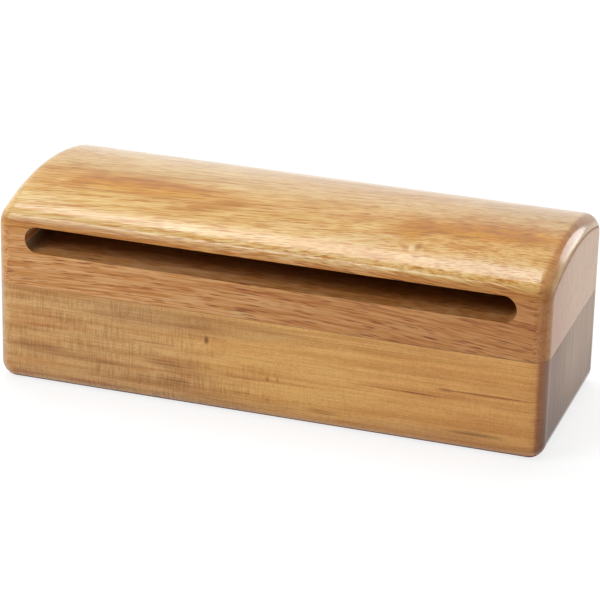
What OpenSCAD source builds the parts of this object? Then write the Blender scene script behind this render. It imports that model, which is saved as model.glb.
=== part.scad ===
// Woodblock: two hardwood boards glued face to face, with an arched top and one long blind slot in the front.
// Origin: centre of the underside. +X runs along the slot, the slotted front faces -Y, +Z is up. Millimetres.

/* [Block] */
// Length of the block, along its slot
block_length = 203; // [150:1:300]
// Depth of the block, from its slotted front to its back
block_depth = 78; // [60:1:110]
// Height of the block at the crown of its arch
block_height = 71.2; // [66:0.1:95]

/* [Arched top] */
// Radius of the arch, which runs from front to back
arch_radius = 116.5; // [80:0.5:220]
// Radius of the shoulders that lead from the arch into the front and back walls
shoulder_radius = 8; // [6.5:0.5:12]

/* [Rounded edges] */
// Radius of the round-over along both ends and round the underside
edge_radius = 6; // [2:0.5:6.5]

/* [Slot] */
// Height of the slot, which is the width of the cutter that mills it
slot_height = 9.8; // [6:0.1:11.5]
// Wood left above the slot at the crown of the arch
slot_roof = 10.5; // [8.5:0.1:13]
// Wood left at each end of the slot
slot_end_wall = 11.4; // [8:0.1:30]
// Wood left behind the slot
slot_back_wall = 18; // [10:0.5:30]

/* [Boards] */
// Thickness of the lower board
lower_board_h = 37.6; // [25:0.1:41]
// Thickness of the cured glue film between the boards
glue_film_t = 0.2; // [0.1:0.05:0.4]

/* [Smoothness] */
// Steps round each rounded edge
edge_steps = 8; // [4:1:12]
// Steps round each shoulder
shoulder_steps = 8; // [4:1:12]
// Steps across the arch
arch_steps = 14; // [8:1:24]

/* [Hidden] */
$fn = 64;

half_length = block_length / 2;
half_depth = block_depth / 2;
front_y = -half_depth;

// Centres of the arch and the shoulders in the cross-section: each shoulder touches its wall and the arch
arch_z = block_height - arch_radius;
shoulder_y = half_depth - shoulder_radius;
shoulder_z = arch_z + sqrt(pow(arch_radius - shoulder_radius, 2) - pow(shoulder_y, 2));
// Angle from straight up at which the arch runs into a shoulder
arch_angle = asin(shoulder_y / (arch_radius - shoulder_radius));
// Centre of the round-over along the lower edges
lower_edge_y = half_depth - edge_radius;

// Joint between the boards
glue_z = lower_board_h;
upper_board_z = lower_board_h + glue_film_t;

// The slot, whose ends are half-round because a round cutter leaves them so
slot_radius = slot_height / 2;
slot_z = block_height - slot_roof - slot_radius;
slot_run = block_length - 2 * (slot_end_wall + slot_radius);
slot_depth = block_depth - slot_back_wall;

// How far a cutting solid reaches past what it cuts
overrun = 1;

// Points along an arc of the cross-section, as [y, z], with angles clockwise from straight up
function arc(centre, radius, from, to, steps) =
    [for (i = [0 : steps]) let (a = from + (to - from) * i / steps) centre + radius * [sin(a), cos(a)]];

// The cross-section, clockwise from the top of the front wall, drawn in all round by an inset
function section(inset) = concat(
    arc([-shoulder_y, shoulder_z], shoulder_radius - inset, -90, -arch_angle, shoulder_steps),
    arc([0, arch_z], arch_radius - inset, -arch_angle, arch_angle, arch_steps),
    arc([shoulder_y, shoulder_z], shoulder_radius - inset, arch_angle, 90, shoulder_steps),
    arc([lower_edge_y, edge_radius], edge_radius - inset, 90, 180, edge_steps),
    arc([-lower_edge_y, edge_radius], edge_radius - inset, 180, 270, edge_steps));

// One cross-section placed along the length
function ring(x, inset) = [for (p = section(inset)) [x, p[0], p[1]]];

// Rings round one end, from its flat face (t = 0) to where the round-over runs out into the long faces (t = 90)
function end_rings(side) =
    [for (i = [0 : edge_steps]) let (t = 90 * i / edge_steps)
        ring(side * (half_length - edge_radius * (1 - cos(t))), edge_radius * (1 - sin(t)))];

function reversed(list) = [for (i = [len(list) - 1 : -1 : 0]) list[i]];

// The whole block before it is slotted, as a loft through its cross-sections
module block_form() {
    rings = concat(end_rings(-1), reversed(end_rings(1)));
    n = len(rings[0]);
    last = len(rings) - 1;
    points = [for (r = rings) each r];
    start_cap = [for (i = [0 : n - 1]) i];
    end_cap = [for (i = [n - 1 : -1 : 0]) last * n + i];
    sides = [for (k = [0 : last - 1], i = [0 : n - 1]) let (j = (i + 1) % n)
        each [[k * n + i, (k + 1) * n + i, (k + 1) * n + j], [k * n + i, (k + 1) * n + j, k * n + j]]];
    polyhedron(points, concat([start_cap, end_cap], sides), convexity = 4);
}

// A slab across the whole block, between two heights
module slab(bottom, top) {
    translate([-half_length - overrun, -half_depth - overrun, bottom])
        cube([block_length + 2 * overrun, block_depth + 2 * overrun, top - bottom]);
}

// The pocket milled into the front, from outside the front wall to its flat inner end
module slot() {
    translate([0, front_y + slot_depth, slot_z])
        rotate([90, 0, 0])
            linear_extrude(slot_depth + overrun) {
                square([slot_run, slot_height], center = true);
                for (side = [-1, 1]) translate([side * slot_run / 2, 0]) circle(slot_radius);
            }
}

// Upper board: arched striking surface over the slot
module upper_block() {
    color("#d2a06a") difference() {
        intersection() {
            block_form();
            slab(upper_board_z, block_height + overrun);
        }
        slot();
    }
}

// Cured glue film, flush with the boards all round
module glue_line() {
    color("#5b3a20") intersection() {
        block_form();
        slab(glue_z, upper_board_z);
    }
}

// Lower board: flat underside with rounded lower edges
module lower_block() {
    color("#bf9763") intersection() {
        block_form();
        slab(-overrun, glue_z);
    }
}

upper_block();
glue_line();
lower_block();
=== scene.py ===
"""Woodblock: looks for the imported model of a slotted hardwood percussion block.

The block is two lacquered hardwood boards with a glue film between them. Each board is modelled again with
fine round-overs, stands where its CAD node stands, and gets the wood, pores, figure and lacquer of the real
instrument. Lengths are named in millimetres and turned to metres where a mesh is made.
"""

import logging
import math
from collections.abc import Callable
from dataclasses import dataclass, field
from enum import Enum

import bmesh
import bpy
from mathutils import Matrix, Vector


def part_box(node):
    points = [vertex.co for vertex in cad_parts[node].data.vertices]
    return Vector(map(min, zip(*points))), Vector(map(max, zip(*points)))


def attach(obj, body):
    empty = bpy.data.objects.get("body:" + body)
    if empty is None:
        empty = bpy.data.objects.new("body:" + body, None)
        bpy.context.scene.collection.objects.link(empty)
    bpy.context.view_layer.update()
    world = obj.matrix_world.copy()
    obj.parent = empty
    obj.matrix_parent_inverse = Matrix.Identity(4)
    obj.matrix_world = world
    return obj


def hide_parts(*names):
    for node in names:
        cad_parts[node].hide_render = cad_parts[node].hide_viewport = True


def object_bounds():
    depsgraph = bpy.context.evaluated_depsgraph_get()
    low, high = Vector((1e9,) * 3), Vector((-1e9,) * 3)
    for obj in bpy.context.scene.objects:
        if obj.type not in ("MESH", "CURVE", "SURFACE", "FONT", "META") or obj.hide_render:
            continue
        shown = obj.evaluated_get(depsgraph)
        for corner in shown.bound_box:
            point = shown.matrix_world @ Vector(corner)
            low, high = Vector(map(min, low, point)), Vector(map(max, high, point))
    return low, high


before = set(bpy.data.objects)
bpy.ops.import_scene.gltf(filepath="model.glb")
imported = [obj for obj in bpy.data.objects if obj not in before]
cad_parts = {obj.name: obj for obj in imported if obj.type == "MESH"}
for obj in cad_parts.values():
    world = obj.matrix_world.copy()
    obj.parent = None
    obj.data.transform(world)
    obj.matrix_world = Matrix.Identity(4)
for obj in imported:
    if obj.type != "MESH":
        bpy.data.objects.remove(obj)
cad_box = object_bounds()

log = logging.getLogger("woodblock")

MM = 0.001

# What carries a pattern or a colour from node to node, and three numbers along X, Y and Z
Socket = bpy.types.NodeSocket
Triple = tuple[float, float, float]

# Distances in millimetres within which two vertices are one: on a new mesh, and after the slot is cut
WELD = 0.001
CUT_WELD = 0.002

# How squarely a face looks along the fibres to count as a flat end
SQUARE = 0.9999

# Angle in degrees past which two faces meet in a hard edge
HARD_EDGE = 50.0

# Paper white
WHITE = (1.0, 1.0, 1.0, 1.0)

# Where the front wall stands along Y, in millimetres
FRONT = -39.0

# Sockets of the Mix node when it mixes colours: its names repeat for every data type
MIX_A = 6
MIX_B = 7
MIX_OUT = 2


class Axis(Enum):
    """Directions of the row frame."""

    ALONG = Vector((1.0, 0.0, 0.0))
    BACK = Vector((0.0, 1.0, 0.0))
    UP = Vector((0.0, 0.0, 1.0))


@dataclass(frozen=True)
class BlockSizes:
    """Sizes of the block in millimetres, as the CAD model has them.

    Args:
        length: Length along the slot.
        depth: Depth from the slotted front to the back.
        height: Height at the crown of the arch.
        glue_bottom: Height of the lower face of the glue film.
        glue_top: Height of its upper face.
        arch_radius: Radius of the arched top.
        shoulder_radius: Radius between the arch and the front and back walls.
        edge_radius: Radius of the round-over on the ends and the underside.
        slot_height: Height of the slot, which is its cutter's width.
        slot_roof: Wood over the slot at the crown.
        slot_end_wall: Wood at each end of the slot.
        slot_back_wall: Wood behind the slot.
        lip_radius: Softened edge round the slot's mouth.
    """

    length: float
    depth: float
    height: float
    glue_bottom: float
    glue_top: float
    arch_radius: float = 116.5
    shoulder_radius: float = 8.0
    edge_radius: float = 6.0
    slot_height: float = 9.8
    slot_roof: float = 10.5
    slot_end_wall: float = 11.4
    slot_back_wall: float = 18.0
    lip_radius: float = 0.35

    @classmethod
    def from_frame(cls) -> "BlockSizes":
        """Read the outer sizes and the joint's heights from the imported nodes.

        Returns:
            The sizes, with the radii and the slot at their design values.
        """
        low, high = cad_box
        glue_low, glue_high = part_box("glue_line")
        extent = (high - low) / MM
        return cls(extent.x, extent.y, extent.z, glue_low.z / MM, glue_high.z / MM)

    @property
    def arch_centre_z(self) -> float:
        """Height of the arch's centre, which lies below the floor."""
        return self.height - self.arch_radius

    @property
    def shoulder_y(self) -> float:
        """Distance of each shoulder's centre from the middle plane."""
        return self.depth / 2 - self.shoulder_radius

    @property
    def shoulder_z(self) -> float:
        """Height of the shoulders' centres, from which they touch both the wall and the arch."""
        reach = self.arch_radius - self.shoulder_radius
        return self.arch_centre_z + math.sqrt(reach**2 - self.shoulder_y**2)

    @property
    def arch_half_angle(self) -> float:
        """Angle from straight up at which the arch runs into a shoulder, in radians."""
        return math.asin(self.shoulder_y / (self.arch_radius - self.shoulder_radius))

    @property
    def slot_z(self) -> float:
        """Height of the slot's middle line."""
        return self.height - self.slot_roof - self.slot_height / 2

    @property
    def slot_run(self) -> float:
        """Length of the slot between the centres of its half-round ends."""
        return self.length - 2 * self.slot_end_wall - self.slot_height


def linear_colour(code: str) -> tuple[float, float, float, float]:
    """Turn an sRGB hex colour to the linear colour that shaders take.

    Args:
        code: Colour such as "#c89058".

    Returns:
        Red, green, blue and an alpha of 1, in linear light.
    """
    parts = [int(code[i : i + 2], 16) / 255 for i in (1, 3, 5)]
    linear = [p / 12.92 if p <= 0.04045 else ((p + 0.055) / 1.055) ** 2.4 for p in parts]
    return (*linear, 1.0)


def add_node(tree: bpy.types.NodeTree, kind: str, inputs: dict | None = None, **settings) -> bpy.types.Node:
    """Add one node with its settings and its links.

    Args:
        tree: The material's or the world's node tree.
        kind: Blender's name of the node type.
        inputs: Socket name or number, to a value or to another node's output.
        settings: The node's own properties.

    Returns:
        The new node.
    """
    node = tree.nodes.new(kind)
    for name, value in settings.items():
        setattr(node, name, value)
    for key, value in (inputs or {}).items():
        if isinstance(value, Socket):
            tree.links.new(value, node.inputs[key])
        else:
            node.inputs[key].default_value = value
    return node


class BlockForm:
    """The whole block as one rounded solid, from which each board is cut."""

    # Steps across the arch and round each shoulder, each worked edge and each end of the slot
    ARCH_STEPS = 56
    SHOULDER_STEPS = 28
    EDGE_SEGMENTS = 14
    SLOT_END_STEPS = 32
    # How far a cutter reaches past the block, and how near to a face an edge lies on it, in millimetres
    OVERRUN = 2.0
    NEAR = 0.01

    def __init__(self, sizes: BlockSizes) -> None:
        """Keep the block's sizes.

        Args:
            sizes: Sizes in millimetres.
        """
        self.sizes = sizes

    def whole(self) -> bmesh.types.BMesh:
        """Model the block without its slot.

        Returns:
            A closed mesh in metres, with its ends and underside rounded over.
        """
        s = self.sizes
        mesh = bmesh.new()
        x = -s.length / 2
        start = mesh.verts.new(Vector((x, -s.depth / 2, 0.0)) * MM)
        wall_top = mesh.verts.new(Vector((x, -s.depth / 2, s.shoulder_z)) * MM)
        mesh.edges.new((start, wall_top))
        bend = math.pi / 2 - s.arch_half_angle
        tip = self._turn(mesh, wall_top, (-s.shoulder_y, s.shoulder_z), bend, self.SHOULDER_STEPS)
        tip = self._turn(mesh, tip, (0.0, s.arch_centre_z), 2 * s.arch_half_angle, self.ARCH_STEPS)
        tip = self._turn(mesh, tip, (s.shoulder_y, s.shoulder_z), bend, self.SHOULDER_STEPS)
        end = mesh.verts.new(Vector((x, s.depth / 2, 0.0)) * MM)
        mesh.edges.new((tip, end))
        mesh.edges.new((end, start))
        self._sweep(mesh, Axis.ALONG.value * s.length * MM)
        bmesh.ops.bevel(
            mesh,
            geom=self._worked_edges(mesh),
            offset=s.edge_radius * MM,
            offset_type="OFFSET",
            segments=self.EDGE_SEGMENTS,
            profile=0.5,
            affect="EDGES",
            material=-1,
            clamp_overlap=False,
        )
        bmesh.ops.remove_doubles(mesh, verts=mesh.verts[:], dist=WELD * MM)
        return mesh

    def _sweep(self, mesh: bmesh.types.BMesh, by: Vector) -> None:
        """Fill an outline and sweep it to a closed solid.

        Args:
            mesh: The mesh, which holds the outline alone.
            by: How far it is swept along each axis, in metres.
        """
        outline = bmesh.ops.contextual_create(mesh, geom=mesh.edges[:])["faces"]
        swept = bmesh.ops.extrude_face_region(mesh, geom=outline)["geom"]
        moved = [g for g in swept if isinstance(g, bmesh.types.BMVert)]
        bmesh.ops.translate(mesh, verts=moved, vec=by)
        bmesh.ops.recalc_face_normals(mesh, faces=mesh.faces[:])

    def _turn(
        self,
        mesh: bmesh.types.BMesh,
        vert: bmesh.types.BMVert,
        centre: tuple[float, float],
        angle: float,
        steps: int,
    ) -> bmesh.types.BMVert:
        """Spin a vertex about a line along the block, leaving an arc of edges.

        Args:
            mesh: The mesh that holds the cross-section.
            vert: Where the arc starts.
            centre: The arc's centre as (y, z) in millimetres.
            angle: How far it turns, from the front over the top to the back, in radians.
            steps: Edges in the arc.

        Returns:
            The vertex at the arc's far end.
        """
        pivot = Vector((vert.co.x, centre[0] * MM, centre[1] * MM))
        spun = bmesh.ops.spin(mesh, geom=[vert], cent=pivot, axis=-Axis.ALONG.value, angle=angle, steps=steps)
        return next(g for g in spun["geom_last"] if isinstance(g, bmesh.types.BMVert))

    def _worked_edges(self, mesh: bmesh.types.BMesh) -> list[bmesh.types.BMEdge]:
        """Find the edges that the round-over cutter runs along.

        Args:
            mesh: The block with square ends.

        Returns:
            The rims of both ends and the two long edges of the underside.
        """
        half = self.sizes.length / 2 * MM
        chosen = []
        for edge in mesh.edges:
            on_end = all(abs(abs(v.co.x) - half) < self.NEAR * MM for v in edge.verts)
            same_end = edge.verts[0].co.x * edge.verts[1].co.x > 0
            on_floor = all(v.co.z < self.NEAR * MM for v in edge.verts)
            if (on_end and same_end) or on_floor:
                chosen.append(edge)
        return chosen

    def between(self, bottom: float, top: float) -> bmesh.types.BMesh:
        """Cut a slice out of the whole block.

        Args:
            bottom: Height of the lower cut in millimetres, or a value below the block for none.
            top: Height of the upper cut, or a value above the block for none.

        Returns:
            The closed slice.
        """
        mesh = self.whole()
        for height, upwards in ((bottom, False), (top, True)):
            if not 0.0 < height < self.sizes.height:
                continue
            cut = bmesh.ops.bisect_plane(
                mesh,
                geom=mesh.verts[:] + mesh.edges[:] + mesh.faces[:],
                plane_co=Axis.UP.value * height * MM,
                plane_no=Axis.UP.value,
                clear_outer=upwards,
                clear_inner=not upwards,
            )["geom_cut"]
            rim = [g for g in cut if isinstance(g, bmesh.types.BMEdge)]
            bmesh.ops.contextual_create(mesh, geom=rim)
        bmesh.ops.recalc_face_normals(mesh, faces=mesh.faces[:])
        return mesh

    def slot_cutter(self) -> bmesh.types.BMesh:
        """Model the space that the slot's cutter clears.

        Returns:
            A closed prism with half-round ends, from in front of the block to the slot's inner end.
        """
        s = self.sizes
        radius = s.slot_height / 2
        mesh = bmesh.new()
        y = -s.depth / 2 - self.OVERRUN
        last = mesh.verts.new(Vector((-s.slot_run / 2, y, s.slot_z - radius)) * MM)
        for side in (1, -1):
            near = mesh.verts.new(Vector((side * s.slot_run / 2, y, s.slot_z - side * radius)) * MM)
            mesh.edges.new((last, near))
            pivot = Vector((side * s.slot_run / 2, y, s.slot_z)) * MM
            spun = bmesh.ops.spin(
                mesh, geom=[near], cent=pivot, axis=-Axis.BACK.value, angle=math.pi, steps=self.SLOT_END_STEPS
            )
            last = next(g for g in spun["geom_last"] if isinstance(g, bmesh.types.BMVert))
        bmesh.ops.remove_doubles(mesh, verts=mesh.verts[:], dist=WELD * MM)
        depth = s.depth - s.slot_back_wall + self.OVERRUN
        self._sweep(mesh, Axis.BACK.value * depth * MM)
        return mesh


@dataclass(frozen=True)
class Smear:
    """A stain, streak or knot at a place in a board, in millimetres.

    Args:
        place: Its middle, in the row frame.
        reach: Its half-length along X, Y and Z.
        colour: The colour that the wood is multiplied by there.
        strength: How much of that colour is taken up at its middle.
        lean: Turn about Y, in degrees: positive drops its right end.
        swing: Turn about Z, in degrees: positive brings its right end back.
        edge: Share of its reach over which it fades out.
        ragged: How far the fibres break it up, from 0 to 1.
    """

    place: Triple
    reach: Triple
    colour: str
    strength: float
    lean: float = 0.0
    swing: float = 0.0
    edge: float = 0.8
    ragged: float = 0.6


class Layering(Enum):
    """How one colour is laid over another."""

    OVER = "MIX"
    STAIN = "MULTIPLY"
    LIGHTEN = "LIGHTEN"


class Figure:
    """The figure of one piece's material, drawn on Object coordinates in millimetres."""

    # Directions in which the layers are taken out of a noise, so that none repeats another
    FIBRE_SHIFT = (1.0, 0.37, -0.61)
    BEND_SHIFT = (1.0, -0.43, 0.71)
    VESSEL_SHIFT = (1.0, -0.53, 0.29)

    def __init__(self, tree: bpy.types.NodeTree) -> None:
        """Start from the piece's own coordinates.

        Args:
            tree: The material's node tree.
        """
        self.tree = tree
        texture = add_node(tree, "ShaderNodeTexCoord")
        scaled = add_node(
            tree, "ShaderNodeMapping", {"Vector": texture.outputs["Object"], "Scale": (1 / MM,) * 3}
        )
        self.place = scaled.outputs["Vector"]
        self.x, self.y, self.z = add_node(tree, "ShaderNodeSeparateXYZ", {"Vector": self.place}).outputs
        # How squarely the fibres are cut across: -1 on the left end, 0 along the fibres, 1 on the right end
        normal = add_node(tree, "ShaderNodeSeparateXYZ", {"Vector": texture.outputs["Normal"]})
        self.facing = normal.outputs["X"]

    def mask(self, value: Socket, start: float, end: float, low: float = 0.0, high: float = 1.0) -> Socket:
        """Turn a measure to a soft-edged mask.

        Args:
            value: What is measured.
            start: The value at which the mask starts to change.
            end: The value at which it has changed.
            low: The mask before start.
            high: The mask past end.

        Returns:
            The mask.
        """
        node = add_node(
            self.tree,
            "ShaderNodeMapRange",
            {"Value": value, "From Min": start, "From Max": end, "To Min": low, "To Max": high},
            interpolation_type="SMOOTHSTEP",
        )
        return node.outputs["Result"]

    def overlap(self, first: Socket, second: Socket | float) -> Socket:
        """Multiply two masks, which leaves what they share."""
        return add_node(self.tree, "ShaderNodeMath", {0: first, 1: second}, operation="MULTIPLY").outputs[0]

    def linear(self, value: Socket, slope: Socket | float, start: Socket | float) -> Socket:
        """Multiply a measure by a slope and add a start."""
        terms = {0: value, 1: slope, 2: start}
        return add_node(self.tree, "ShaderNodeMath", terms, operation="MULTIPLY_ADD").outputs[0]

    def cut_across(self) -> Socket:
        """Measure how squarely the fibres are cut across at either end, from 0 to 1."""
        return add_node(self.tree, "ShaderNodeMath", {0: self.facing}, operation="ABSOLUTE").outputs[0]

    def pattern_place(self, place: Socket, size: Triple, shift: float, direction: Triple) -> Socket:
        """Scale coordinates so that one feature of a pattern gets its real size.

        Args:
            place: Coordinates in millimetres.
            size: Size of one feature along X, Y and Z in millimetres.
            shift: How far away in the pattern it is taken.
            direction: Which way that is.

        Returns:
            The coordinates that the pattern is drawn on.
        """
        drawn = add_node(
            self.tree,
            "ShaderNodeMapping",
            {"Vector": place, "Location": [shift * d for d in direction], "Scale": [1 / s for s in size]},
        )
        return drawn.outputs["Vector"]

    def fibres(
        self, place: Socket, size: Triple, shift: float, detail: float = 3.0, roughness: float = 0.55
    ) -> Socket:
        """Draw noise stretched to the size of a fibre, band or blotch.

        Args:
            place: Coordinates in millimetres.
            size: Typical size of one feature along X, Y and Z in millimetres.
            shift: Where in the noise it is taken, so that no two layers agree.
            detail: Octaves of finer noise.
            roughness: Strength of each finer octave.

        Returns:
            Noise from 0 to 1 around 0.5.
        """
        drawn = self.pattern_place(place, size, shift, self.FIBRE_SHIFT)
        noise = add_node(
            self.tree,
            "ShaderNodeTexNoise",
            {"Vector": drawn, "Scale": 1.0, "Detail": detail, "Roughness": roughness},
        )
        return noise.outputs["Fac"]

    def bent(self, place: Socket, size: Triple, by: Triple, shift: float) -> Socket:
        """Bend coordinates so that what is drawn on them wanders.

        Args:
            place: Coordinates in millimetres.
            size: Size of one bend along X, Y and Z in millimetres.
            by: Farthest wander along X, Y and Z in millimetres.
            shift: Where in the noise it is taken.

        Returns:
            The bent coordinates.
        """
        drawn = self.pattern_place(place, size, shift, self.BEND_SHIFT)
        noise = add_node(self.tree, "ShaderNodeTexNoise", {"Vector": drawn, "Scale": 1.0, "Detail": 1.0})
        wander = add_node(
            self.tree,
            "ShaderNodeVectorMath",
            {0: noise.outputs["Color"], 1: (-0.5, -0.5, -0.5)},
            operation="ADD",
        )
        moved = add_node(
            self.tree,
            "ShaderNodeVectorMath",
            {0: wander.outputs["Vector"], 1: [2 * b for b in by], 2: place},
            operation="MULTIPLY_ADD",
        )
        return moved.outputs["Vector"]

    def along_grain(self, drift: float, crown: tuple[float, float], rise: float, bow: float) -> Socket:
        """Turn the coordinates so that X runs with the fibres.

        Args:
            drift: How far the fibres on the crown run back for each millimetre to the right.
            crown: Heights between which that drift sets in.
            rise: How far the fibres rise to the right in the middle, in the same way.
            bow: How much that rise grows for each millimetre.

        Returns:
            Coordinates along, across and up through the fibres, in millimetres.
        """
        across = self.linear(self.x, self.mask(self.z, *crown, 0.0, -drift), self.y)
        up = self.linear(self.x, self.linear(self.x, -bow, -rise), self.z)
        turned = add_node(self.tree, "ShaderNodeCombineXYZ", {"X": self.x, "Y": across, "Z": up})
        return turned.outputs["Vector"]

    def vessels(self, place: Socket, cell: Triple, shift: float, reach: float) -> Socket:
        """Draw a hardwood's cut vessels: long thin ellipsoids, which show as dashes along the fibres.

        Args:
            place: Coordinates through the fibres in millimetres.
            cell: Spacing of the vessels along X, Y and Z in millimetres.
            shift: Where in the pattern it is taken.
            reach: Half-size of a vessel as a share of the spacing.

        Returns:
            The mask, which differs in strength from vessel to vessel.
        """
        drawn = self.pattern_place(place, cell, shift, self.VESSEL_SHIFT)
        cells = add_node(self.tree, "ShaderNodeTexVoronoi", {"Vector": drawn, "Scale": 1.0})
        body = self.mask(cells.outputs["Distance"], 0.4 * reach, reach, 1.0, 0.0)
        depth = add_node(self.tree, "ShaderNodeSeparateXYZ", {"Vector": cells.outputs["Color"]}).outputs["X"]
        return self.overlap(body, self.mask(depth, 0.1, 0.5))

    def smear(self, smear: Smear, fibre: Socket) -> Socket:
        """Draw where a stain, streak or knot lies.

        Args:
            smear: Its place and size.
            fibre: Fibre noise that breaks it up.

        Returns:
            The mask, up to its strength.
        """
        local = add_node(
            self.tree,
            "ShaderNodeMapping",
            {
                "Vector": self.place,
                "Location": smear.place,
                "Rotation": (0.0, math.radians(smear.lean), math.radians(smear.swing)),
                "Scale": smear.reach,
            },
            vector_type="TEXTURE",
        )
        away = add_node(self.tree, "ShaderNodeVectorMath", {0: local.outputs["Vector"]}, operation="LENGTH")
        cloud = self.mask(away.outputs["Value"], 1.0 - smear.edge, 1.0, smear.strength, 0.0)
        return self.overlap(cloud, self.mask(fibre, 0.38, 0.6, 1.0 - smear.ragged, 1.0))

    def mix(
        self, mask: Socket, first: Socket | str, second: Socket | str, way: Layering = Layering.OVER
    ) -> Socket:
        """Lay one colour over another.

        Args:
            mask: Where, and how strongly.
            first: The colour below, as a socket or an sRGB hex colour.
            second: The colour above, in the same way.
            way: How it is laid.

        Returns:
            The colour.
        """
        below, above = (linear_colour(c) if isinstance(c, str) else c for c in (first, second))
        node = add_node(
            self.tree,
            "ShaderNodeMix",
            {0: mask, MIX_A: below, MIX_B: above},
            data_type="RGBA",
            blend_type=way.value,
        )
        return node.outputs[MIX_OUT]

    def stain(self, colour: Socket, by: str, mask: Socket) -> Socket:
        """Multiply the wood's colour by an sRGB hex colour where a mask says so."""
        return self.mix(mask, colour, by, Layering.STAIN)

    def at_least(self, colour: Socket, darkest: str, mask: Socket) -> Socket:
        """Keep stains that lie over each other from going below an sRGB hex colour."""
        return self.mix(mask, colour, darkest, Layering.LIGHTEN)


def new_piece(name: str, mesh: bmesh.types.BMesh) -> bpy.types.Object:
    """Turn a bmesh into a linked object at the origin.

    Args:
        name: The piece's name.
        mesh: Its mesh, which is freed.

    Returns:
        The object.
    """
    data = bpy.data.meshes.new(name)
    mesh.to_mesh(data)
    mesh.free()
    piece = bpy.data.objects.new(name, data)
    bpy.context.scene.collection.objects.link(piece)
    return piece


@dataclass(frozen=True)
class Lacquer:
    """Clear gloss polyurethane, sprayed and rubbed: a smooth film with a soft, slightly spread highlight.

    Args:
        ior: Its refractive index.
        weight: How much of the wood the film covers, from 0 to 1.
        film_roughness: Roughness of the film's own surface.
        under_roughness: Roughness of the wetted wood under it.
    """

    ior: float = 1.46
    weight: float = 1.0
    film_roughness: float = 0.12
    under_roughness: float = 0.45


class BoardFinish:
    """A lacquered hardwood finish: a subclass draws the wood's colour and relief."""

    name = "board"
    lacquer = Lacquer()
    # Depth in millimetres of the wood's relief, and of what shows of it in the film above
    pore_depth = 0.06
    telegraphing = 0.010

    def colour(self, figure: Figure) -> Socket:
        """Draw the wood's colour.

        Args:
            figure: The figure of this piece.

        Returns:
            The colour under the lacquer.
        """
        raise NotImplementedError

    def relief(self, figure: Figure) -> Socket:
        """Draw how far the surface stands up, from 0 to 1.

        Args:
            figure: The figure of this piece.

        Returns:
            The surface height, where 1 is flush.
        """
        raise NotImplementedError

    def build(self) -> bpy.types.Material:
        """Make the material.

        Returns:
            A node material with the wood under its lacquer.
        """
        material = bpy.data.materials.new(self.name)
        material.use_nodes = True
        tree = material.node_tree
        tree.nodes.clear()
        figure = Figure(tree)
        colour = self.colour(figure)
        height = self.relief(figure)
        wood, film = (
            add_node(tree, "ShaderNodeBump", {"Height": height, "Strength": 1.0, "Distance": depth * MM})
            for depth in (self.pore_depth, self.telegraphing)
        )
        shader = add_node(
            tree,
            "ShaderNodeBsdfPrincipled",
            {
                "Base Color": colour,
                "Roughness": self.lacquer.under_roughness,
                "IOR": self.lacquer.ior,
                "Specular IOR Level": 0.0,
                "Coat Weight": self.lacquer.weight,
                "Coat Roughness": self.lacquer.film_roughness,
                "Coat IOR": self.lacquer.ior,
                "Normal": wood.outputs["Normal"],
                "Coat Normal": film.outputs["Normal"],
            },
        )
        add_node(tree, "ShaderNodeOutputMaterial", {"Surface": shader.outputs["BSDF"]})
        return material


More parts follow.
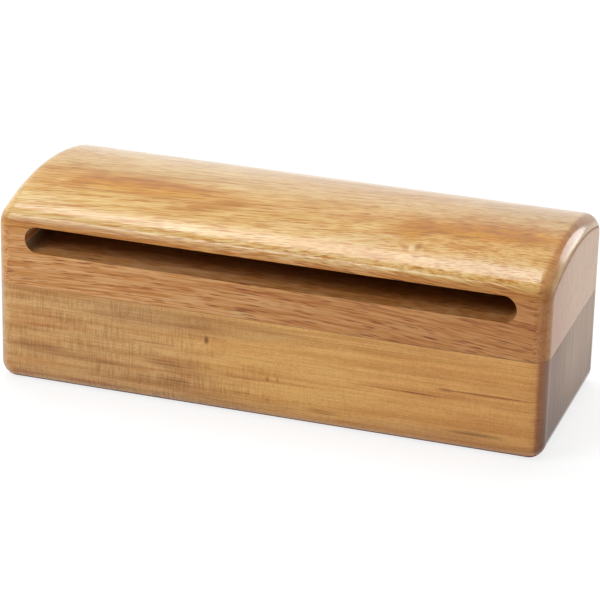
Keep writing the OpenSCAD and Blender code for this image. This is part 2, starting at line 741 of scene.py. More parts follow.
class UpperBoardFinish(BoardFinish):
    """Rubberwood, sanded and lacquered: straw on the crown, redder below, with short dark open vessels."""

    name = "lacquered_rubberwood"
    below = ("#e4ae73", "#ce9355")
    crown = ("#f0d6af", "#e8c69a")
    amber = "#e8c246"
    # Heights in millimetres over which the golden lip and the crown set in and the vessels turn golden
    lip_rise = (57.0, 61.0)
    crown_rise = (61.6, 64.0)
    vessel_rise = (60.0, 65.0)
    # Places from front to back in millimetres over which the crown cools and the scorch turns yellower
    crown_cools = (-8.0, 4.0)
    scorch_yellows = (-18.0, 6.0)
    stains = (
        Smear((-54.0, -11.0, 70.0), (48.0, 9.5, 5.0), amber, 0.95, swing=2.0, edge=0.6, ragged=0.1),
        Smear((-79.0, -13.5, 70.0), (9.0, 5.0, 4.0), amber, 0.8, swing=6.0, ragged=0.2),
        Smear((-58.0, -9.5, 70.5), (26.0, 3.8, 4.0), amber, 0.60, swing=3.0, ragged=0.5),
        Smear((-60.0, -6.0, 71.0), (12.0, 1.6, 4.0), "#e2b45c", 0.9, swing=2.0, ragged=0.4),
        Smear((-38.0, -7.5, 71.0), (18.0, 1.6, 4.0), "#dfb86c", 0.8, swing=1.0, ragged=0.4),
        Smear((-20.5, -14.5, 70.5), (10.0, 4.2, 4.0), "#e2c048", 0.95, swing=5.0, ragged=0.2),
        Smear((-27.0, -17.5, 70.0), (15.0, 4.5, 4.0), "#e0b43c", 0.85, swing=5.0, ragged=0.2),
        Smear((-68.0, -5.0, 71.0), (44.0, 7.5, 5.0), "#e4c688", 0.9, swing=2.0, edge=0.7, ragged=0.25),
        Smear((-94.0, -10.0, 70.0), (12.0, 10.0, 5.0), "#e8ce98", 0.65, edge=0.7, ragged=0.2),
        Smear((-86.0, -18.0, 69.5), (20.0, 3.6, 4.0), "#e6c68a", 0.9, swing=3.0, ragged=0.2),
        Smear((40.0, -19.5, 70.0), (11.0, 6.0, 4.0), "#ecd4a0", 0.75, swing=-10.0, ragged=0.3),
        Smear((-34.0, -22.5, 69.0), (17.0, 3.6, 4.0), "#e8cc90", 0.85, swing=5.0, ragged=0.3),
        Smear((-9.0, -13.5, 70.5), (14.0, 4.6, 4.0), "#e6c88c", 0.85, swing=5.0, ragged=0.3),
        Smear((45.0, -5.0, 71.0), (17.0, 5.5, 5.0), "#ecd4a4", 0.85, swing=4.0, ragged=0.3),
        Smear((26.0, -10.5, 71.0), (15.0, 4.8, 5.0), "#e8cc94", 0.8, swing=8.0, ragged=0.3),
        Smear((72.0, -10.0, 71.0), (42.0, 9.0, 5.0), "#eccc4c", 1.0, swing=4.0, edge=0.6, ragged=0.0),
        Smear((74.0, -2.0, 71.0), (32.0, 5.5, 5.0), "#e8cc98", 0.9, swing=3.0, edge=0.7, ragged=0.25),
        Smear((82.0, 16.0, 68.0), (34.0, 18.0, 8.0), "#ecece8", 0.9, edge=0.7, ragged=0.2),
        Smear((46.5, -14.5, 70.5), (7.5, 12.0, 5.0), "#eed468", 0.85, swing=-14.0, edge=0.45, ragged=0.05),
        Smear((55.0, -14.0, 70.5), (6.0, 1.3, 4.0), "#d4a03c", 0.95, swing=8.0, ragged=0.2),
        Smear((64.0, -15.0, 70.5), (5.0, 1.1, 4.0), "#d8a844", 0.9, swing=4.0, ragged=0.2),
        Smear((80.0, -9.0, 71.0), (22.0, 3.0, 5.0), "#eed078", 0.5, swing=3.0, ragged=0.4),
        Smear((68.0, -21.5, 69.5), (12.0, 2.0, 4.0), "#e8c47c", 0.9, swing=8.0),
        Smear((-52.0, 3.0, 71.0), (60.0, 9.0, 5.0), "#efe6d4", 0.8, swing=2.0, ragged=0.4),
        Smear((12.0, -13.0, 70.5), (16.0, 1.6, 4.0), "#e6c684", 0.8, swing=6.0),
        Smear((8.0, -8.7, 71.0), (14.0, 1.5, 4.0), "#e6c684", 0.7, swing=7.0),
        Smear((46.4, -26.4, 68.5), (2.6, 2.0, 3.0), "#cc983c", 0.8, swing=-20.0, ragged=0.3),
        Smear((51.0, -25.6, 68.5), (1.7, 4.2, 3.0), "#cc983c", 0.8, ragged=0.3),
        Smear((51.5, -31.0, 67.5), (2.6, 1.3, 3.0), "#c49a60", 0.8, swing=-20.0, ragged=0.3),
        Smear((-70.0, -38.0, 62.0), (52.0, 5.0, 3.4), "#ece0c8", 0.9, edge=0.6, ragged=0.1),
        Smear((70.0, -19.0, 70.0), (34.0, 7.5, 5.0), "#f4da8c", 0.35, swing=4.0, ragged=0.2),
        # Painted shade: a grey band that dims the shoulder's highlight on the right
        Smear((76.0, -32.0, 67.2), (34.0, 5.0, 3.0), "#e8e4e2", 0.5, edge=0.7, ragged=0.1),
    )
    pale = (
        # The branch's heart, the wood that parts in front of it, paler sapwood here and there, and a painted
        # highlight along the front shoulder
        Smear((48.8, -26.7, 68.3), (1.4, 3.6, 3.0), "#f0d8a8", 0.85, edge=0.9, ragged=0.0),
        Smear((29.0, -26.0, 69.0), (23.0, 7.0, 5.0), "#f0d8a8", 0.75, swing=12.0, ragged=0.4),
        Smear((4.0, -24.0, 70.0), (20.0, 5.0, 5.0), "#ecd2a0", 0.5, ragged=0.3),
        Smear((82.0, -29.5, 67.0), (24.0, 6.0, 7.0), "#eed6a8", 0.45, ragged=0.3),
        Smear((-86.0, -28.0, 68.0), (18.0, 9.0, 8.0), "#f0d8ac", 0.45, ragged=0.3),
        # Painted highlight: pale bands along the front shoulder, where the overhead lamp's reflection lies
        Smear((-64.0, -34.5, 66.0), (66.0, 7.0, 4.0), "#f2dcc4", 0.22, edge=0.7, ragged=0.0),
        Smear((14.0, -37.5, 64.0), (60.0, 5.0, 4.0), "#f2dcbc", 0.2, edge=0.7, ragged=0.0),
        # Paler wood on the front wall below the slot
        Smear((-8.0, FRONT, 39.6), (6.0, 8.0, 2.0), "#d8b478", 0.75, ragged=0.2),
        Smear((-78.0, FRONT, 40.5), (32.0, 8.0, 3.4), "#e8b680", 0.35, edge=0.7, ragged=0.0),
        Smear((10.0, FRONT, 49.0), (13.0, 8.0, 2.2), "#dca870", 0.4, edge=0.7, ragged=0.0),
    )

    def colour(self, figure: Figure) -> Socket:
        """Draw straw-coloured wood on the crown, redder wood below it, amber stains, streaks and vessels."""
        grain, fibre = self.grain(figure)
        right = figure.mask(figure.x, -90.0, 90.0)
        crown = figure.mask(figure.z, *self.crown_rise)
        body = figure.mix(crown, figure.mix(right, *self.below), figure.mix(right, *self.crown))
        # The lip over the slot is the first of the golden wood, and the crown is cooler at the back
        body = figure.stain(body, "#fdf9d6", figure.mask(figure.z, *self.lip_rise))
        cool = figure.overlap(figure.mask(figure.y, *self.crown_cools), crown)
        body = figure.stain(body, "#f6f6ff", cool)
        # Growth bands: wide slow changes between paler and browner wood
        bands = figure.fibres(grain, (85.0, 7.0, 2.6), 3.1, detail=2.0)
        body = figure.stain(body, "#f0e2c2", figure.mask(bands, 0.44, 0.66, 0.0, 0.9))
        # Streaks: the thin brown lines a finger long that make the wood read as wood from afar
        streaks = figure.fibres(grain, (30.0, 0.58, 0.7), 11.3, detail=2.5, roughness=0.6)
        body = figure.stain(body, "#ebca6a", figure.mask(streaks, 0.48, 0.66, 0.0, 0.5))
        for stain in self.stains:
            body = figure.stain(body, stain.colour, figure.smear(stain, streaks))
        for pale in self.pale:
            body = figure.mix(figure.smear(pale, streaks), body, pale.colour)
        # On the round-overs at the ends the marks below are cut across, so they fade
        along = figure.mask(figure.cut_across(), 0.2, 0.6, 1.0, 0.3)
        # Crisp dark lines between the streaks, where late wood comes to the surface
        lines = figure.mask(figure.fibres(grain, (26.0, 0.55, 0.75), 7.7, detail=1.0), 0.55, 0.63, 0.0, 0.7)
        body = figure.stain(body, "#e0b654", figure.overlap(lines, along))
        # Fibres: the finest light and dark lines, which keep a close view from looking painted
        fine = figure.mask(fibre, 0.44, 0.64, 0.0, 0.85)
        body = figure.stain(body, "#dfbe68", figure.overlap(fine, along))
        # Vessels: open pores filled with dark finish, this wood's mark, shallower and golden on the crown
        pores = figure.overlap(self.pores(figure, grain), along)
        for colour, low, high in (("#b48548", 1.0, 0.0), ("#d6a646", 0.0, 1.0)):
            there = figure.mask(figure.z, *self.vessel_rise, low, high)
            body = figure.stain(body, colour, figure.overlap(pores, there))
        # Seen through the gloss, brown that is too dark would turn grey on the crown
        body = figure.at_least(body, "#a06c1c", crown)
        # The round-over on the right end is scorched, sooner on the crown than on the wall
        on_wall = figure.mask(figure.facing, 0.36, 0.62, 0.0, 0.65)
        begun = figure.mix(crown, on_wall, figure.mask(figure.facing, 0.1, 0.4))
        scorch = figure.overlap(begun, figure.mask(figure.facing, 0.72, 0.9, 1.0, 0.1))
        body = figure.stain(body, "#e6c4a0", scorch)
        behind = figure.mask(figure.y, *self.scorch_yellows)
        body = figure.stain(body, "#e6e0a4", figure.overlap(scorch, behind))
        # Toward the left end it only turns browner
        return figure.mix(figure.mask(figure.facing, -0.98, -0.6, 0.8, 0.0), body, "#b8885e")

    def grain(self, figure: Figure) -> tuple[Socket, Socket]:
        """Lay the fibres.

        Args:
            figure: The figure of this piece.

        Returns:
            Coordinates through the fibres, and the fine fibre noise on them.
        """
        straight = figure.along_grain(drift=0.115, crown=(58.0, 66.0), rise=-0.03, bow=-0.00045)
        grain = figure.bent(straight, (90.0, 40.0, 22.0), (0.0, 0.9, 1.1), 4.7)
        return grain, figure.fibres(grain, (16.0, 0.42, 0.45), 9.1, detail=2.0)

    def pores(self, figure: Figure, grain: Socket) -> Socket:
        """Draw the cut vessels.

        Args:
            figure: The figure of this piece.
            grain: Coordinates through the fibres.

        Returns:
            The mask.
        """
        coarse = figure.vessels(grain, (11.5, 0.8, 0.85), 2.3, 0.33)
        fine = figure.vessels(grain, (8.0, 0.62, 0.65), 8.9, 0.34)
        either = {0: coarse, 1: figure.overlap(fine, 0.75)}
        return add_node(figure.tree, "ShaderNodeMath", either, operation="MAXIMUM").outputs[0]

    def relief(self, figure: Figure) -> Socket:
        """Sink the vessels and leave the faint ridges of the fibres."""
        grain, fibre = self.grain(figure)
        return figure.linear(self.pores(figure, grain), -0.8, fibre)


# Places from front to back, and heights, over which the painted shade on the lower board's ends fades, in
# millimetres
END_FRONT_SHADE = (-30.0, 8.0)
END_FOOT_SHADE = (2.0, 28.0)


def painted_foot_shade(figure: Figure, wood: Socket) -> Socket:
    """Paint shade on the lower board's end, darker toward its foot.

    Args:
        figure: The figure of the board.
        wood: The end's colour so far.

    Returns:
        The darkened colour.
    """
    return figure.stain(wood, "#bcaa9c", figure.mask(figure.z, *END_FOOT_SHADE, 0.8, 0.0))


class LowerBoardFinish(BoardFinish):
    """Tulipwood, sanded and lacquered: olive brown on the left, golden on the right, with cross figure."""

    name = "lacquered_tulipwood"
    olive = "#e6b776"
    golden = ("#f3bf6e", "#ebb061")
    stains = (
        # Grey-brown streaks low on the left
        Smear((-84.0, FRONT, 14.6), (21.0, 12.0, 3.4), "#d0bc9e", 0.95, lean=3.0, ragged=0.45),
        Smear((-64.0, FRONT, 13.0), (18.0, 12.0, 2.4), "#d8c6a8", 0.9, lean=2.0),
        Smear((-36.0, FRONT, 15.8), (11.0, 12.0, 2.4), "#c8b08c", 0.75, lean=3.0),
        Smear((-27.0, FRONT, 13.4), (13.0, 12.0, 2.4), "#cdb692", 0.7, ragged=0.5),
        Smear((-32.0, FRONT, 10.2), (8.5, 12.0, 1.6), "#bfa47c", 0.95),
        Smear((-34.0, FRONT, 8.9), (20.0, 12.0, 2.0), "#d8c2a8", 0.8),
        Smear((-52.0, FRONT, 10.0), (28.0, 12.0, 4.5), "#e4d6c0", 0.4, ragged=0.4),
        Smear((-18.0, FRONT, 5.6), (20.0, 12.0, 2.0), "#d8cab6", 0.7),
        # Reddish and brown lines
        Smear((-82.0, FRONT, 23.5), (14.0, 10.0, 1.0), "#ecc8ac", 0.8, ragged=0.4),
        Smear((-43.0, FRONT, 23.4), (16.0, 10.0, 0.45), "#c9aa88", 0.8),
        Smear((-9.0, FRONT, 15.2), (11.0, 10.0, 0.45), "#d3b68c", 0.7, lean=1.0),
        Smear((82.0, FRONT, 22.8), (21.0, 10.0, 0.6), "#bd9464", 0.95, lean=-0.5, edge=0.6, ragged=0.3),
        Smear((66.5, FRONT, 22.7), (4.0, 10.0, 0.9), "#b98e5c", 0.85),
        Smear((50.0, FRONT, 19.7), (34.0, 10.0, 0.5), "#cfa468", 0.85, ragged=0.4),
        Smear((56.0, FRONT, 19.7), (8.0, 10.0, 0.4), "#b8884c", 0.9, ragged=0.2),
        # Greyer wood along the glue and along the foot
        Smear((14.0, FRONT, 35.2), (84.0, 14.0, 4.0), "#f0eef2", 0.5, edge=0.5, ragged=0.3),
        Smear((-26.0, FRONT, 33.0), (54.0, 14.0, 6.5), "#e4dee2", 0.95, edge=0.6, ragged=0.2),
        Smear((-22.0, FRONT, 31.8), (20.0, 12.0, 1.6), "#d2ba9c", 0.8),
        Smear((78.0, FRONT, 7.6), (14.0, 12.0, 1.6), "#bcb2a6", 0.9),
        Smear((62.0, FRONT, 6.0), (36.0, 12.0, 2.8), "#eef0fc", 0.8, ragged=0.2),
        Smear((22.0, FRONT, 7.0), (9.0, 12.0, 1.5), "#cfbaa4", 0.85),
        Smear((4.0, FRONT, 6.0), (14.0, 12.0, 2.2), "#dccfc2", 0.7),
        # Mineral specks and a pin knot
        Smear((1.7, FRONT, 16.2), (1.2, 4.0, 1.5), "#c49c70", 0.8, ragged=0.2),
        Smear((5.4, FRONT, 16.4), (0.9, 4.0, 1.3), "#c8a276", 0.8, ragged=0.2),
        Smear((2.0, FRONT, 8.3), (0.9, 4.0, 0.8), "#c8a276", 0.6, ragged=0.2),
        Smear((-21.2, FRONT, 27.5), (1.3, 5.0, 2.3), "#9a6e4c", 0.95, ragged=0.1),
    )

    def colour(self, figure: Figure) -> Socket:
        """Draw the board from its olive left end to its golden right end."""
        grain, fibre = self.grain(figure)
        x, _, z = add_node(figure.tree, "ShaderNodeSeparateXYZ", {"Vector": grain}).outputs
        # The colour boundary follows the growth layers, so it is ragged and slants
        edge = figure.linear(z, 0.9, x)
        golden = figure.mask(edge, -34.0, 16.0)
        body = figure.mix(golden, self.olive, figure.mix(figure.mask(x, 10.0, 80.0), *self.golden))
        bands = figure.fibres(grain, (90.0, 9.0, 2.4), 5.3, detail=2.0)
        body = figure.stain(body, "#e8d8bc", figure.mask(bands, 0.46, 0.66, 0.0, 0.7))
        lines = figure.fibres(grain, (45.0, 1.6, 0.4), 1.7, detail=3.0, roughness=0.6)
        body = figure.stain(body, "#dcc6a4", figure.mask(lines, 0.5, 0.72, 0.0, 0.7))
        # Mottle: soft patches of redder wood, which keep the board from looking like one even stain
        mottle = figure.fibres(grain, (24.0, 9.0, 3.2), 12.1, detail=2.0)
        redder = figure.overlap(figure.mask(mottle, 0.46, 0.64), figure.mask(golden, 0.0, 1.0, 0.55, 0.28))
        body = figure.stain(body, "#ecd0b0", redder)
        for stain in self.stains:
            body = figure.stain(body, stain.colour, figure.smear(stain, lines))
        # Foot of the board: a little greyer and pinker
        body = figure.stain(body, "#f8f6fa", figure.mask(figure.z, 5.0, 10.5, 0.9, 0.0))
        # Cross figure: the fine upright bars that mark the olive part, which come and go along the fibres
        bars = figure.fibres(figure.place, (0.65, 9.0, 8.0), 6.1, detail=1.5)
        patches = figure.fibres(figure.place, (16.0, 9.0, 4.0), 8.3, detail=1.0)
        there = figure.overlap(
            figure.mask(edge, -20.0, 40.0, 0.62, 0.13), figure.mask(patches, 0.38, 0.6, 0.25, 1.0)
        )
        body = figure.stain(body, "#cfbfa4", figure.overlap(figure.mask(bars, 0.38, 0.64), there))
        # Pore speckle and fibres: the finest grain of this close wood
        speckle = figure.fibres(figure.place, (0.8, 0.5, 0.45), 3.9, detail=1.0)
        body = figure.stain(body, "#e3d3b8", figure.mask(speckle, 0.4, 0.7, 0.0, 0.5))
        body = figure.stain(body, "#e0ccb0", figure.mask(fibre, 0.42, 0.7, 0.0, 0.5))
        # The scorched round-over on the right end, and on the left one a painted sheen: a pale rim that
        # stands in for the glancing reflection there
        body = figure.stain(body, "#c6a69a", figure.mask(figure.facing, 0.36, 0.62))
        body = figure.mix(figure.mask(figure.facing, -0.75, -0.25, 0.4, 0.0), body, "#cfae82")
        # Toward the flat ends the round-over takes on the brown of the end grain
        squarely = figure.mask(figure.cut_across(), 0.6, 0.97, 0.0, 0.95)
        # Painted shade: there that brown is darker toward the front edge and toward the foot
        back = figure.mask(figure.y, *END_FRONT_SHADE)
        return figure.mix(squarely, body, painted_foot_shade(figure, figure.mix(back, "#94694a", "#aa8466")))

    def grain(self, figure: Figure) -> tuple[Socket, Socket]:
        """Lay the fibres.

        Args:
            figure: The figure of this piece.

        Returns:
            Coordinates through the fibres, and the fine fibre noise on them.
        """
        straight = figure.along_grain(drift=0.0, crown=(0.0, 1.0), rise=0.004, bow=0.0)
        grain = figure.bent(straight, (70.0, 18.0, 14.0), (0.0, 1.2, 0.9), 2.9)
        return grain, figure.fibres(grain, (20.0, 0.8, 0.3), 6.7, detail=2.0)

    def relief(self, figure: Figure) -> Socket:
        """Leave the faint ridges of the fibres."""
        return self.grain(figure)[1]


class FootFinish(LowerBoardFinish):
    """The same wood where the foot turns under, with a dull film and painted contact shade, so it draws the
    lower edge.
    """

    name = "tulipwood_painted_contact_shade"
    lacquer = Lacquer(weight=0.1, film_roughness=0.4, under_roughness=0.7)

    def colour(self, figure: Figure) -> Socket:
        """Paint contact shade: darken the wood where the foot meets the floor."""
        return figure.stain(super().colour(figure), "#8c7662", figure.mask(figure.z, 1.2, 2.0, 1.0, 0.9))


class SlotFinish(UpperBoardFinish):
    """The same rubberwood where the cutter milled it: sealed but not rubbed, so it is duller."""

    name = "milled_rubberwood"
    lacquer = Lacquer(film_roughness=0.4, under_roughness=0.6)
    below = ("#daae80", "#ce9f6c")
    crown = below
    # Places from front to back over which painted shade sets in inside the slot, in millimetres
    mouth = (-32.0, -22.0)

    def colour(self, figure: Figure) -> Socket:
        """Paint shade on the wood past the mouth, darker deeper inside the slot."""
        painted_slot_shade = figure.mask(figure.y, *self.mouth)
        wood = figure.stain(super().colour(figure), "#c9b89f", painted_slot_shade)
        # The slot's left end is cut across the fibres, which took up more sealer; the stain is also painted
        # shade on that end wall inside the slot
        return figure.stain(wood, "#bccae0", figure.mask(figure.facing, 0.1, 0.6))


class EndFinish(BoardFinish):
    """A board's flat end, where the cut fibres drink the lacquer, so its film is thinner and duller."""

    lacquer = Lacquer(weight=0.9, film_roughness=0.22, under_roughness=0.6)
    pore_depth = 0.02
    telegraphing = 0.004
    pale = "#d8a676"
    dark = "#cf9a68"
    rings = (0.6, 1.2, 3.0)

    def colour(self, figure: Figure) -> Socket:
        """Draw growth lines that run up the end."""
        rings = figure.fibres(figure.place, self.rings, 4.4, detail=2.0)
        return figure.mix(figure.mask(rings, 0.38, 0.66), self.pale, self.dark)

    def relief(self, figure: Figure) -> Socket:
        """Leave the surface a little uneven over the growth lines."""
        return figure.fibres(figure.place, self.rings, 4.4)


class UpperEndFinish(EndFinish):
    """The rubberwood's end: an even pinkish tan, browner toward its front edge."""

    name = "rubberwood_end_grain"

    def colour(self, figure: Figure) -> Socket:
        """Turn the end browner toward the front edge."""
        front = figure.mask(figure.y, -36.0, 4.0, 0.8, 0.0)
        return figure.stain(super().colour(figure), "#e2bc94", front)


class LowerEndFinish(EndFinish):
    """The lower board's end: greyer and darker, with upright growth lines."""

    name = "tulipwood_end_grain"
    lacquer = Lacquer(weight=0.6, film_roughness=0.22, under_roughness=0.6)
    pale = "#bb997a"
    dark = "#ae8c6b"
    rings = (1.0, 2.2, 26.0)

    def colour(self, figure: Figure) -> Socket:
        """Paint shade on the end, darker toward its front edge and toward its foot."""
        front = figure.mask(figure.y, *END_FRONT_SHADE, 1.0, 0.0)
        return painted_foot_shade(figure, figure.stain(super().colour(figure), "#c4aea0", front))


class RimFinish(EndFinish):
    """The hard line where the round-over ends: a thin, dull film over painted shade, which darkens that
    crease.
    """

    name = "painted_crease_shade"
    lacquer = Lacquer(weight=0.15, film_roughness=0.3, under_roughness=0.6)
    pale = "#cca088"
    dark = "#bc9078"


class GlueEndFinish(EndFinish):
    """The glue film's end, which is hard to tell from the wood beside it."""

    name = "cured_glue_end"
    lacquer = Lacquer(weight=0.45, film_roughness=0.22, under_roughness=0.6)
    pale = "#a07858"
    dark = "#946c4c"


class GlueFinish(BoardFinish):
    """Cured wood glue in a tight joint, lacquered: the wood's own brown, and darker where it opens."""

    name = "cured_wood_glue"
    pore_depth = 0.02
    telegraphing = 0.002

    def colour(self, figure: Figure) -> Socket:
        """Draw a film that shows dark only where the joint was a little open."""
        patches = figure.fibres(figure.place, (22.0, 22.0, 22.0), 1.3, detail=2.0)
        opened = figure.mask(figure.linear(patches, 70.0, figure.x), 62.0, 98.0)
        return figure.mix(opened, "#a9743f", "#6d4424")

    def relief(self, figure: Figure) -> Socket:
        """Leave the film slightly uneven."""
        return figure.fibres(figure.place, (1.5, 1.5, 1.5), 3.3)


def dress(
    piece: bpy.types.Object, finish: BoardFinish, chosen: Callable[[bpy.types.MeshPolygon], bool]
) -> None:
    """Give some faces of a piece a finish of their own.

    Args:
        piece: The piece.
        finish: The finish of those faces.
        chosen: Tells whether a face is one of them.
    """
    piece.data.materials.append(finish.build())
    for face in piece.data.polygons:
        if chosen(face):
            face.material_index = len(piece.data.materials) - 1


def flat_end(face: bpy.types.MeshPolygon) -> bool:
    """Tell whether a face is the flat face of an end."""
    return abs(face.normal.x) > SQUARE


def finish_piece(piece: bpy.types.Object, node: str) -> None:
    """Smooth a piece, put it in its CAD node's place and report it.

    Args:
        piece: The piece, at the origin.
        node: The CAD node that it stands for.
    """
    piece.data.shade_smooth()
    piece.data.set_sharp_from_angle(angle=math.radians(HARD_EDGE))
    normals = piece.modifiers.new("flat faces stay flat", "WEIGHTED_NORMAL")
    normals.keep_sharp = True
    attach(piece, "root")
    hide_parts(node)
    log.info("%s: %d faces, stands for %s", piece.name, len(piece.data.polygons), node)


@dataclass
class UpperBoard:
    """The slotted striking board.

    Args:
        form: The block that it is cut from.
    """

    form: BlockForm

    # How squarely the hard line that ends the round-over looks along the fibres, and what lies past it
    RIM = 0.95
    END = 0.975
    # Height in millimetres from which the round-over ends in that line
    RIM_HEIGHT = 54.0
    # Facets round the softened edge of the slot's mouth
    LIP_SEGMENTS = 3

    def build(self) -> bpy.types.Object:
        """Model and dress the board.

        Returns:
            The board.
        """
        sizes = self.form.sizes
        piece = new_piece("upper_board", self.form.between(sizes.glue_top, sizes.height + self.form.OVERRUN))
        cutter = new_piece("slot_cutter", self.form.slot_cutter())
        piece.data.materials.append(UpperBoardFinish().build())
        cutter.data.materials.append(SlotFinish().build())
        self._mill(piece, cutter)
        self._soften_mouth(piece)
        # Painted shade along the crease where the round-over ends
        dress(piece, RimFinish(), lambda face: self._at_end(face, self.RIM))
        dress(piece, UpperEndFinish(), lambda face: self._at_end(face, self.END))
        finish_piece(piece, "upper_block")
        return piece

    def _at_end(self, face: bpy.types.MeshPolygon, squarely: float) -> bool:
        """Tell whether a face is the flat end, or is high up and looks squarely enough along the fibres."""
        return flat_end(face) or (abs(face.normal.x) > squarely and face.center.z > self.RIM_HEIGHT * MM)

    def _mill(self, piece: bpy.types.Object, cutter: bpy.types.Object) -> None:
        """Cut the slot, whose walls take the cutter's material.

        Args:
            piece: The board.
            cutter: The cutter's solid, which is removed.
        """
        cut = piece.modifiers.new("slot", "BOOLEAN")
        cut.object = cutter
        cut.operation = "DIFFERENCE"
        cut.solver = "EXACT"
        cut.material_mode = "TRANSFER"
        depsgraph = bpy.context.evaluated_depsgraph_get()
        milled = bpy.data.meshes.new_from_object(piece.evaluated_get(depsgraph))
        piece.modifiers.clear()
        piece.data = milled
        bpy.data.objects.remove(cutter)

    def _soften_mouth(self, piece: bpy.types.Object) -> None:
        """Round the sharp edge round the slot's mouth, as sanding leaves it.

        Args:
            piece: The slotted board.
        """
        mesh = bmesh.new()
        mesh.from_mesh(piece.data)
        bmesh.ops.remove_doubles(mesh, verts=mesh.verts[:], dist=CUT_WELD * MM)
        mouth = [
            e for e in mesh.edges
            if len(e.link_faces) == 2 and e.link_faces[0].material_index != e.link_faces[1].material_index
        ]
        bmesh.ops.bevel(
            mesh,
            geom=mouth,
            offset=self.form.sizes.lip_radius * MM,
            offset_type="OFFSET",
            segments=self.LIP_SEGMENTS,
            profile=0.5,
            affect="EDGES",
            material=0,
            clamp_overlap=True,
        )
        bmesh.ops.recalc_face_normals(mesh, faces=mesh.faces[:])
        log.info("mouth edges %d, open edges %d", len(mouth), sum(not e.is_manifold for e in mesh.edges))
        mesh.to_mesh(piece.data)
        mesh.free()


@dataclass
class LowerBoard:
    """The base board.

    Args:
        form: The block that it is cut from.
    """

    form: BlockForm

    # Height in millimetres up to which the round-over of the foot gets painted contact shade
    FOOT = 2.0

    def build(self) -> bpy.types.Object:
        """Model and dress the board.

        Returns:
            The board.
        """
        piece = new_piece("lower_board", self.form.between(-self.form.OVERRUN, self.form.sizes.glue_bottom))
        piece.data.materials.append(LowerBoardFinish().build())
        dress(piece, FootFinish(), lambda face: face.center.z < self.FOOT * MM)
        dress(piece, LowerEndFinish(), flat_end)
        finish_piece(piece, "lower_block")
        return piece


@dataclass
class GlueFilm:
    """The cured film of glue between the boards.

    Args:
        form: The block that it follows the outline of.
    """

    form: BlockForm

    def build(self) -> bpy.types.Object:
        """Model and dress the film.

        Returns:
            The film.
        """
        sizes = self.form.sizes
        piece = new_piece("glue_film", self.form.between(sizes.glue_bottom, sizes.glue_top))
        piece.data.materials.append(GlueFinish().build())
        dress(piece, GlueEndFinish(), flat_end)
        finish_piece(piece, "glue_line")
        return piece


def looking(right: Vector, up: Vector, back: Vector, place: Triple) -> Matrix:
    """Place and turn a lamp or a camera.

    Args:
        right: The direction to its right.
        up: The direction up from it.
        back: The direction away from what it faces.
        place: Where it is, in metres.

    Returns:
        Its matrix.
    """
    matrix = Matrix((right, up, back)).transposed().to_4x4()
    matrix.translation = place
    return matrix


class Outline(Enum):
    """Outlines of a lamp."""

    RECTANGLE = "RECTANGLE"
    ELLIPSE = "ELLIPSE"


@dataclass(frozen=True)
class Softbox:
    """A studio lamp with its width level, turned to face the block.

    Args:
        name: What it is called.
        place: Its middle, in metres.
        size: Its width and height in metres.
        radiance: How bright its face is, where 1 is paper white.
        outline: Its outline.
    """

    name: str
    place: Triple
    size: tuple[float, float]
    radiance: float
    outline: Outline = Outline.RECTANGLE

    def build(self, aim: Vector) -> None:
        """Hang the lamp.

        Args:
            aim: The point that it faces.
        """
        lamp = bpy.data.lights.new(self.name, "AREA")
        lamp.shape = self.outline.value
        lamp.size, lamp.size_y = self.size
        area = self.size[0] * self.size[1] * (math.pi / 4 if self.outline is Outline.ELLIPSE else 1.0)
        lamp.energy = self.radiance * math.pi * area
        holder = bpy.data.objects.new(self.name, lamp)
        away = (Vector(self.place) - aim).normalized()
        width = (Axis.ALONG.value - away * away.x).normalized()
        holder.matrix_world = looking(width, away.cross(width), away, self.place)
        holder.visible_camera = False
        bpy.context.scene.collection.objects.link(holder)


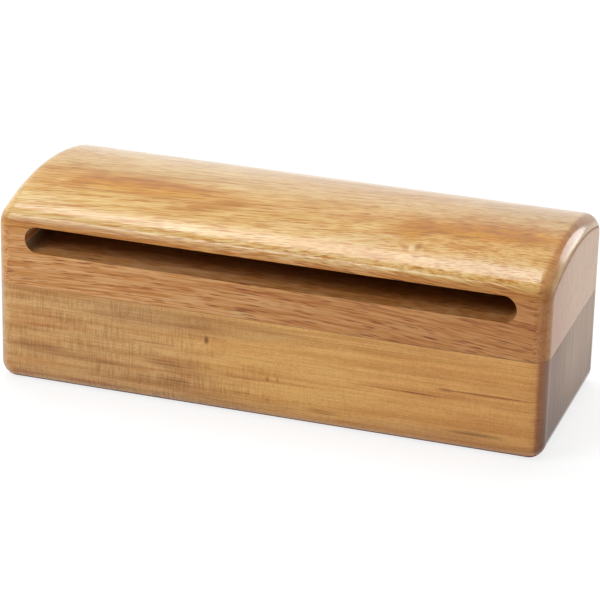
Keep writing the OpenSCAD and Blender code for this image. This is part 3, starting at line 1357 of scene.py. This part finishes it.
@dataclass
class Studio:
    """White floor, soft lamps and the camera at the photograph's angle.

    Args:
        azimuth: Turn of the camera from straight in front, in degrees.
        elevation: Its height above the level, in degrees.
        roll: Its roll, in degrees.
        distance: Its distance from the aim, in millimetres.
        aim: The point that it faces, in millimetres.
        lens: Its focal length, in millimetres.
        sensor: The width of its sensor, in millimetres.
        fill: How bright the white all round lights the block, where 1 is paper white.
        floor_size: Length of the floor's sides, in metres.
        paper: The floor's colour as the block sees it.
        seen_paper: The floor's colour as the camera sees it, which its glow adds to.
        glow: How bright the floor glows to the camera.
        lamps: The lamps.
    """

    azimuth: float = 17.948
    elevation: float = 22.872
    roll: float = 1.324
    distance: float = 1069.2
    aim: Triple = (0.46, 0.0, 30.85)
    lens: float = 177.73
    sensor: float = 36.0
    fill: float = 0.28
    floor_size: float = 8.0
    paper: str = "#f0f0f0"
    seen_paper: str = "#8f8f8f"
    glow: float = 0.8
    lamps: list[Softbox] = field(
        default_factory=lambda: [
            Softbox("overhead_behind", (-0.22, 0.388, 1.218), (1.0, 0.815), 4.95, Outline.ELLIPSE),
            Softbox("overhead_front", (-0.606, -0.674, 1.037), (0.92, 0.20), 6.6, Outline.ELLIPSE),
            Softbox("rim_right", (0.376, 0.600, 0.206), (0.24, 0.39), 3.9, Outline.ELLIPSE),
            Softbox("front_fill", (-1.0, -1.05, 0.98), (1.0, 0.8), 2.85),
        ]
    )

    def build(self) -> None:
        """Set up the stage."""
        self._camera()
        self._floor()
        self._world()
        for lamp in self.lamps:
            lamp.build(Vector(self.aim) * MM)
        bpy.context.scene.view_settings.view_transform = "Standard"

    def _camera(self) -> None:
        """Stand the camera where the photograph was taken from."""
        turn, lift, roll = (math.radians(a) for a in (self.azimuth, self.elevation, self.roll))
        back = Vector((math.sin(turn) * math.cos(lift), -math.cos(turn) * math.cos(lift), math.sin(lift)))
        level = Vector((math.cos(turn), math.sin(turn), 0.0))
        upright = back.cross(level)
        right = level * math.cos(roll) + upright * math.sin(roll)
        up = upright * math.cos(roll) - level * math.sin(roll)
        data = bpy.data.cameras.new("camera")
        data.lens, data.sensor_width = self.lens, self.sensor
        camera = bpy.data.objects.new("camera", data)
        place = tuple(a * MM + b * self.distance * MM for a, b in zip(self.aim, back))
        camera.matrix_world = looking(right, up, back, place)
        bpy.context.scene.collection.objects.link(camera)
        bpy.context.scene.camera = camera

    def _seen_ray(self, tree: bpy.types.NodeTree) -> Socket:
        """Tell rays that show the background from rays that only light the block.

        Args:
            tree: The node tree that asks.

        Returns:
            1 for what the camera sees, itself or in a gloss or a glass, and 0 for light.
        """
        path = add_node(tree, "ShaderNodeLightPath")
        seen = path.outputs["Is Camera Ray"]
        for kind in ("Is Glossy Ray", "Is Transmission Ray"):
            either = {0: seen, 1: path.outputs[kind]}
            seen = add_node(tree, "ShaderNodeMath", either, operation="MAXIMUM").outputs[0]
        return seen

    def _floor(self) -> None:
        """Lay a white floor that keeps a faint shadow of the block."""
        mesh = bmesh.new()
        bmesh.ops.create_grid(mesh, x_segments=2, y_segments=2, size=self.floor_size / 2)
        floor = new_piece("floor", mesh)
        material = bpy.data.materials.new("white_paper_floor")
        material.use_nodes = True
        tree = material.node_tree
        tree.nodes.clear()
        paper = add_node(tree, "ShaderNodeBsdfDiffuse", {"Color": linear_colour(self.paper)})
        seen_paper = add_node(tree, "ShaderNodeBsdfDiffuse", {"Color": linear_colour(self.seen_paper)})
        glow = add_node(tree, "ShaderNodeEmission", {"Color": WHITE, "Strength": self.glow})
        seen = add_node(tree, "ShaderNodeAddShader", {0: seen_paper.outputs[0], 1: glow.outputs[0]})
        both = {"Fac": self._seen_ray(tree), 1: paper.outputs[0], 2: seen.outputs[0]}
        surface = add_node(tree, "ShaderNodeMixShader", both)
        add_node(tree, "ShaderNodeOutputMaterial", {"Surface": surface.outputs[0]})
        floor.data.materials.append(material)

    def _world(self) -> None:
        """Surround the block with white that it reflects and with a softer fill light."""
        world = bpy.data.worlds.new("studio")
        world.use_nodes = True
        tree = world.node_tree
        tree.nodes.clear()
        strength = add_node(
            tree, "ShaderNodeMapRange", {"Value": self._seen_ray(tree), "To Min": self.fill, "To Max": 1.0}
        )
        light = add_node(
            tree, "ShaderNodeBackground", {"Color": WHITE, "Strength": strength.outputs["Result"]}
        )
        add_node(tree, "ShaderNodeOutputWorld", {"Surface": light.outputs["Background"]})
        bpy.context.scene.world = world


def main() -> None:
    """Build the block, dress it, light it and report each piece."""
    logging.basicConfig(level=logging.INFO, format="%(name)s: %(message)s")
    sizes = BlockSizes.from_frame()
    log.info("sizes %s", sizes)
    form = BlockForm(sizes)
    for part in (UpperBoard(form), GlueFilm(form), LowerBoard(form)):
        part.build()
    Studio().build()


if __name__ == "__main__":
    main()
